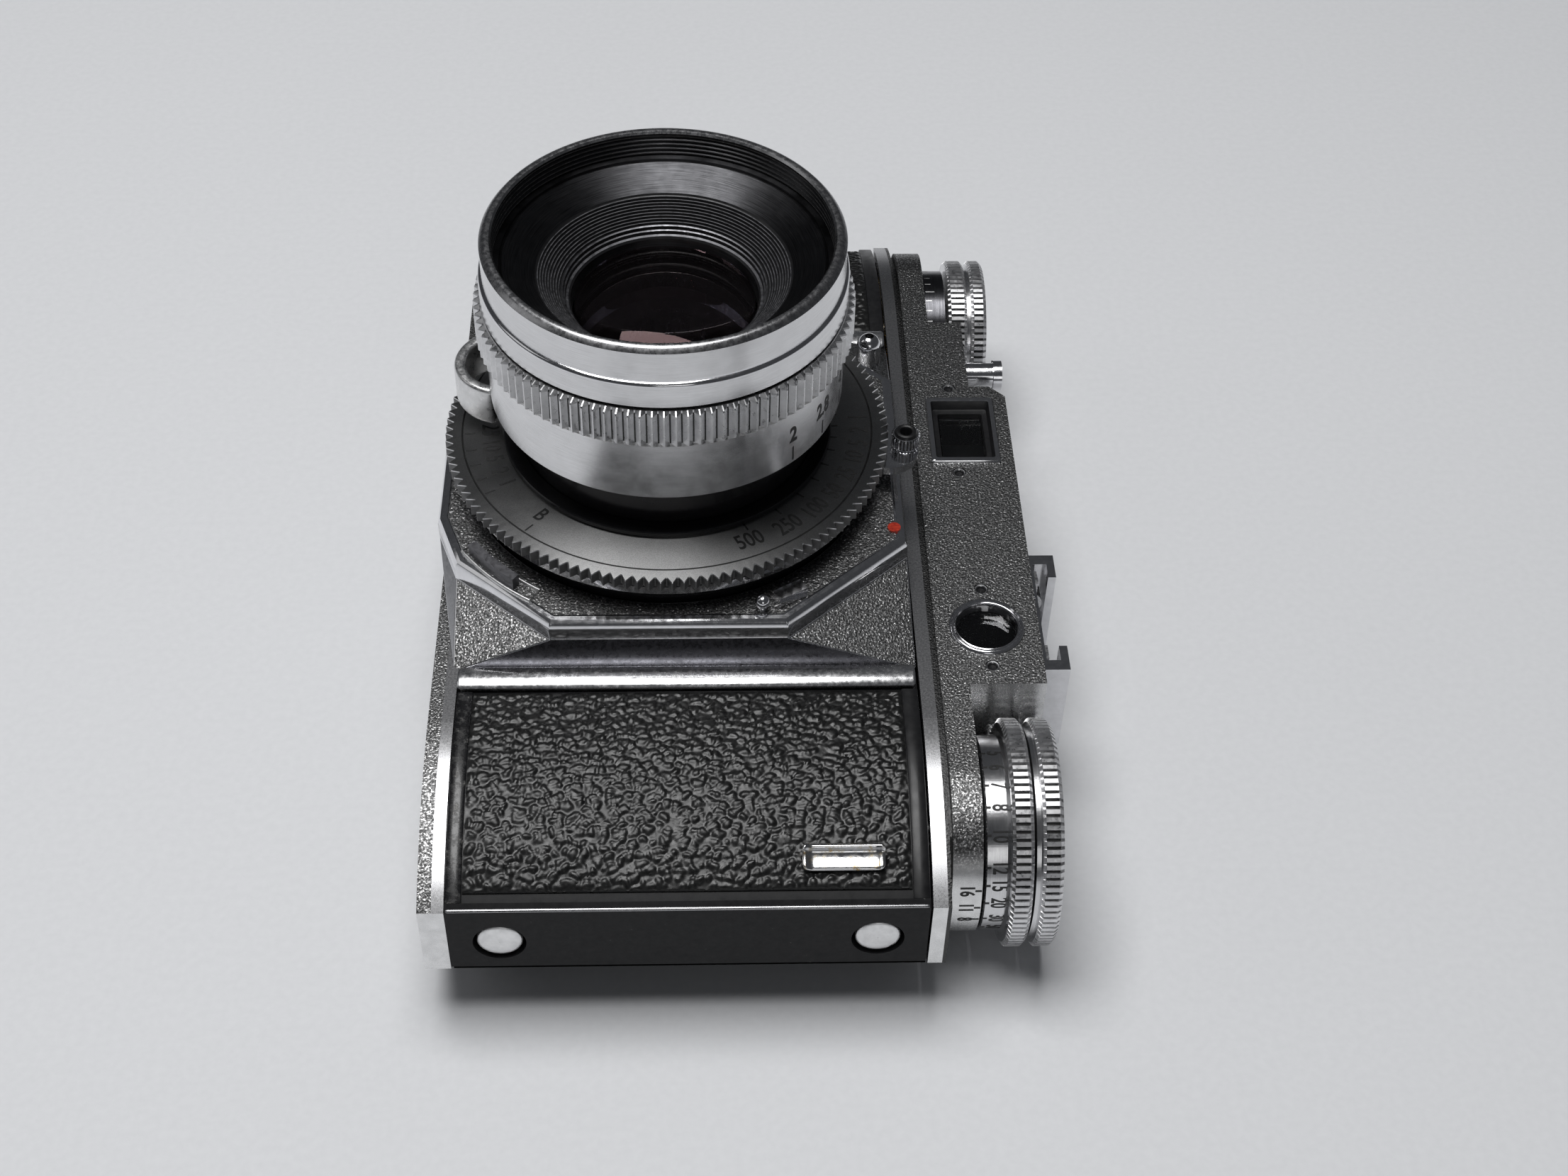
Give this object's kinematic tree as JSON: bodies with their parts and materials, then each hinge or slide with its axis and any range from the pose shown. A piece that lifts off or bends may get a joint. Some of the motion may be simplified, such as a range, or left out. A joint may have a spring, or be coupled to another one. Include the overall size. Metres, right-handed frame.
{
  "type": "film camera",
  "caption": "Metal 35 mm leaf-shutter film camera with a fast lens, focusing and winding knobs on top, leather panels and a hinged back, lying on its back.",
  "frame": {"origin": "on the back door's resting face, straight below the lens axis", "axes": "+Z along the lens axis towards the subject, +X towards the camera's top plate, +Y towards the advance knob end"},
  "size_m": [0.0918, 0.1426, 0.08],
  "materials": {
    "black_metal": "semi-gloss black paint",
    "satin_chrome": "fine grained satin chrome",
    "polished_chrome": "polished chrome",
    "black_leather": "pebbled black leather",
    "bright_steel": "brushed",
    "satin_aluminium": "turned satin",
    "blued_steel": "dark blued",
    "gear_brass": "machined brass",
    "red_enamel": "red enamel",
    "clear_glass": "clear",
    "coated_glass": "violet coated"
  },
  "bodies": {
    "camera_body": {"body_casting": "black_metal", "cassette_housing": "black_metal", "take_up_housing": "black_metal", "bottom_cover": "satin_chrome", "top_cover": "satin_chrome", "front_housing": "satin_chrome", "trim_bars": "polished_chrome", "leather_near": "black_leather", "leather_far": "black_leather", "end_plate_near": "black_metal", "film_gate": "bright_steel", "tripod_bush": "bright_steel", "accessory_shoe": "satin_chrome", "shoe_spring": "bright_steel", "rangefinder_ring": "polished_chrome", "viewfinder_frame": "polished_chrome", "window_glass": "clear_glass", "finder_prism": "clear_glass", "eyepiece": "black_metal", "sync_socket": "polished_chrome", "index_pin": "polished_chrome", "stop_block": "satin_chrome", "index_dot": "red_enamel", "cover_screws": "bright_steel", "hinge_pin": "bright_steel"},
    "shutter_unit": {"shutter_case": "black_metal", "lens_barrel": "satin_aluminium", "front_ring": "satin_aluminium", "cone_ring": "black_metal", "front_lens": "coated_glass", "rear_lens": "coated_glass", "iris": "blued_steel"},
    "focus_knob": {"focus_knob": "satin_aluminium"},
    "rewind": {"rewind_knob": "satin_aluminium", "rewind_shaft": "bright_steel"},
    "advance": {"advance_knob": "satin_aluminium", "advance_shaft": "bright_steel", "advance_gear": "gear_brass"},
    "sprocket_body": {"sprocket": "bright_steel", "sprocket_gear": "gear_brass"},
    "counter": {"counter_drum": "satin_aluminium"},
    "release": {"release_button": "polished_chrome"},
    "door": {"back_door": "black_metal", "door_leather": "black_leather", "pressure_plate": "black_metal", "pressure_spring": "gear_brass"},
    "latch_low": {"latch_button_low": "polished_chrome"},
    "latch_high": {"latch_button_high": "polished_chrome"},
    "rewind_lever": {"rewind_release": "polished_chrome"},
    "sync": {"sync_slider": "satin_chrome"},
    "speed_dial": {"speed_ring": "satin_chrome"},
    "aperture": {"aperture_ring": "satin_aluminium"},
    "lens_lock": {"lock_tab": "satin_chrome"},
    "timer": {"timer_lever": "satin_chrome", "timer_knob": "polished_chrome"},
    "blade_1": {"shutter_blade_1": "blued_steel"},
    "blade_2": {"shutter_blade_2": "blued_steel"},
    "blade_3": {"shutter_blade_3": "blued_steel"},
    "blade_4": {"shutter_blade_4": "blued_steel"},
    "blade_5": {"shutter_blade_5": "blued_steel"}
  },
  "joints": [
    {"name": "focus_turn", "type": "hinge", "parent": "camera_body", "child": "focus_knob", "pos_m": [0.046, -0.0542, 0.0163], "axis": [1, 0, 0], "range_deg": [0, 270]},
    {"name": "lens_focus", "type": "slide", "parent": "camera_body", "child": "shutter_unit", "axis": [0, 0, 1], "range_m": [0, 0.0028]},
    {"name": "rewind_turn", "type": "hinge", "parent": "camera_body", "child": "rewind", "pos_m": [0.052, -0.0542, 0.0163], "axis": [1, 0, 0], "continuous": true},
    {"name": "advance_turn", "type": "hinge", "parent": "camera_body", "child": "advance", "pos_m": [0.05, 0.0556, 0.0163], "axis": [1, 0, 0], "continuous": true},
    {"name": "sprocket_turn", "type": "hinge", "parent": "camera_body", "child": "sprocket_body", "pos_m": [0, 0.0384, 0.0133], "axis": [1, 0, 0], "continuous": true},
    {"name": "counter_turn", "type": "hinge", "parent": "camera_body", "child": "counter", "pos_m": [0.045, 0.0556, 0.0163], "axis": [1, 0, 0], "continuous": true},
    {"name": "release_press", "type": "slide", "parent": "camera_body", "child": "release", "axis": [-1, 0, 0], "range_m": [0, 0.0015], "stiffness_N_per_m": 300},
    {"name": "door_swing", "type": "hinge", "parent": "camera_body", "child": "door", "pos_m": [0, 0.0687, 0.0102], "axis": [1, 0, 0], "range_deg": [0, 100]},
    {"name": "latch_low_press", "type": "slide", "parent": "camera_body", "child": "latch_low", "axis": [0, 1, 0], "range_m": [0, 0.0012], "stiffness_N_per_m": 300},
    {"name": "latch_high_press", "type": "slide", "parent": "camera_body", "child": "latch_high", "axis": [0, 1, 0], "range_m": [0, 0.0012], "stiffness_N_per_m": 300},
    {"name": "rewind_release_turn", "type": "hinge", "parent": "camera_body", "child": "rewind_lever", "pos_m": [0.0286, -0.0658, 0.026], "axis": [0, -0.3907, 0.9205], "range_deg": [-20, 60]},
    {"name": "sync_slide_turn", "type": "hinge", "parent": "camera_body", "child": "sync", "pos_m": [0, 0, 0.0385], "axis": [0, 0, 1], "range_deg": [-1, 5]},
    {"name": "speed_turn", "type": "hinge", "parent": "shutter_unit", "child": "speed_dial", "pos_m": [0, 0, 0.0438], "axis": [0, 0, 1], "range_deg": [-60, 50]},
    {"name": "aperture_turn", "type": "hinge", "parent": "shutter_unit", "child": "aperture", "pos_m": [0, 0, 0.067], "axis": [0, 0, 1], "range_deg": [-50, 15]},
    {"name": "lens_lock_turn", "type": "hinge", "parent": "shutter_unit", "child": "lens_lock", "pos_m": [0, 0, 0.0455], "axis": [0, 0, 1], "range_deg": [-25, 0]},
    {"name": "timer_turn", "type": "hinge", "parent": "shutter_unit", "child": "timer", "pos_m": [0, 0, 0.0418], "axis": [0, 0, 1], "range_deg": [-50, 0]},
    {"name": "blade_1_turn", "type": "hinge", "parent": "shutter_unit", "child": "blade_1", "pos_m": [0.0156, 0, 0.0336], "axis": [0, 0, 1], "range_deg": [0, 60], "stiffness_Nm_per_rad": 0.0002},
    {"name": "blade_2_turn", "type": "hinge", "parent": "shutter_unit", "child": "blade_2", "pos_m": [0.00482, 0.01484, 0.03415], "axis": [0, 0, 1], "range_deg": [0, 60]},
    {"name": "blade_3_turn", "type": "hinge", "parent": "shutter_unit", "child": "blade_3", "pos_m": [-0.01262, 0.00917, 0.0347], "axis": [0, 0, 1], "range_deg": [0, 60]},
    {"name": "blade_4_turn", "type": "hinge", "parent": "shutter_unit", "child": "blade_4", "pos_m": [-0.01262, -0.00917, 0.03525], "axis": [0, 0, 1], "range_deg": [0, 60]},
    {"name": "blade_5_turn", "type": "hinge", "parent": "shutter_unit", "child": "blade_5", "pos_m": [0.00482, -0.01484, 0.0358], "axis": [0, 0, 1], "range_deg": [0, 60]}
  ],
  "couplings": [
    {"joint": "focus_turn", "follows": "lens_focus", "rad_per_m": 1682},
    {"joint": "sprocket_turn", "follows": "advance_turn", "ratio": -1.3333},
    {"joint": "counter_turn", "follows": "advance_turn", "ratio": 0.05},
    {"joint": "blade_2_turn", "follows": "blade_1_turn", "ratio": 1},
    {"joint": "blade_3_turn", "follows": "blade_1_turn", "ratio": 1},
    {"joint": "blade_4_turn", "follows": "blade_1_turn", "ratio": 1},
    {"joint": "blade_5_turn", "follows": "blade_1_turn", "ratio": 1}
  ]
}
